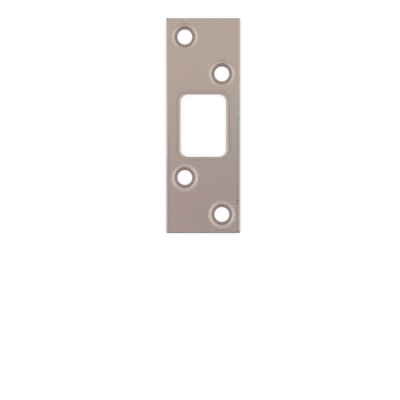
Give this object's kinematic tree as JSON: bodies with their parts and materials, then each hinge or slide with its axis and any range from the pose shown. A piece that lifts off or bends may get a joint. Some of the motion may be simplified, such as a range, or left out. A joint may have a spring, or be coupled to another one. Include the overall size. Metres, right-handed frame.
{
  "type": "door strike plate",
  "caption": "Flat stamped strike plate for a door jamb: a rounded rectangular bolt opening between staggered, coined countersunk screw holes.",
  "frame": {"origin": "centre of the bolt opening, at the back face", "axes": "+Z out of the face that shows on the jamb, +Y along the plate, +X across it"},
  "size_m": [0.0318, 0.092, 0.0019],
  "materials": {
    "satin_nickel": "satin nickel plate on stamped steel, warm grey, fine even satin"
  },
  "bodies": {
    "root": {"strike_plate": "satin_nickel"}
  },
  "joints": []
}
